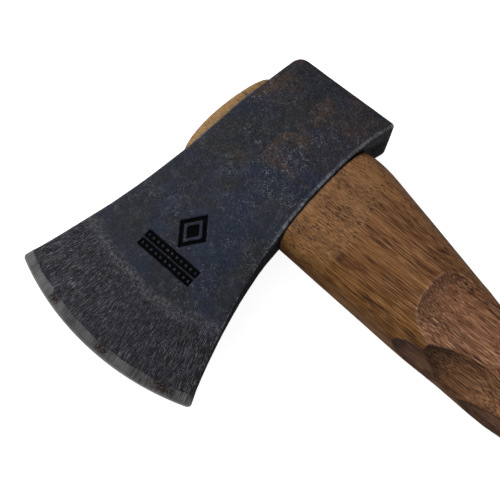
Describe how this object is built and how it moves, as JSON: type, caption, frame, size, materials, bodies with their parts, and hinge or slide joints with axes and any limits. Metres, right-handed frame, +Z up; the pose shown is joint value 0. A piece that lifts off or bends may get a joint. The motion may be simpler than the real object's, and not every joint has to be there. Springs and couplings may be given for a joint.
{
  "type": "hatchet",
  "caption": "One-hand hatchet: forged steel head with a flared blade and flat poll, wedged onto a knife-carved walnut handle.",
  "frame": {"origin": "on the poll's flat face, in line with the middle of the eye and on the head's mid-plane", "axes": "+X along the handle from the eye to the butt, +Y towards the poll (-Y towards the cutting edge), +Z up through the cheeks, so the hatchet lies on its side"},
  "size_m": [0.3998, 0.1554, 0.0326],
  "materials": {
    "forged_steel": "blackened forge scale, satin, with a ground blade and a bright honed edge",
    "walnut": "oiled, knife-carved walnut, satin",
    "wedge_wood": "pale hardwood, sawn",
    "wedge_steel": "bare steel, dull"
  },
  "bodies": {
    "root": {"head": "forged_steel", "handle": "walnut", "eye_wedge": "wedge_wood", "cross_wedge": "wedge_steel"}
  },
  "joints": []
}
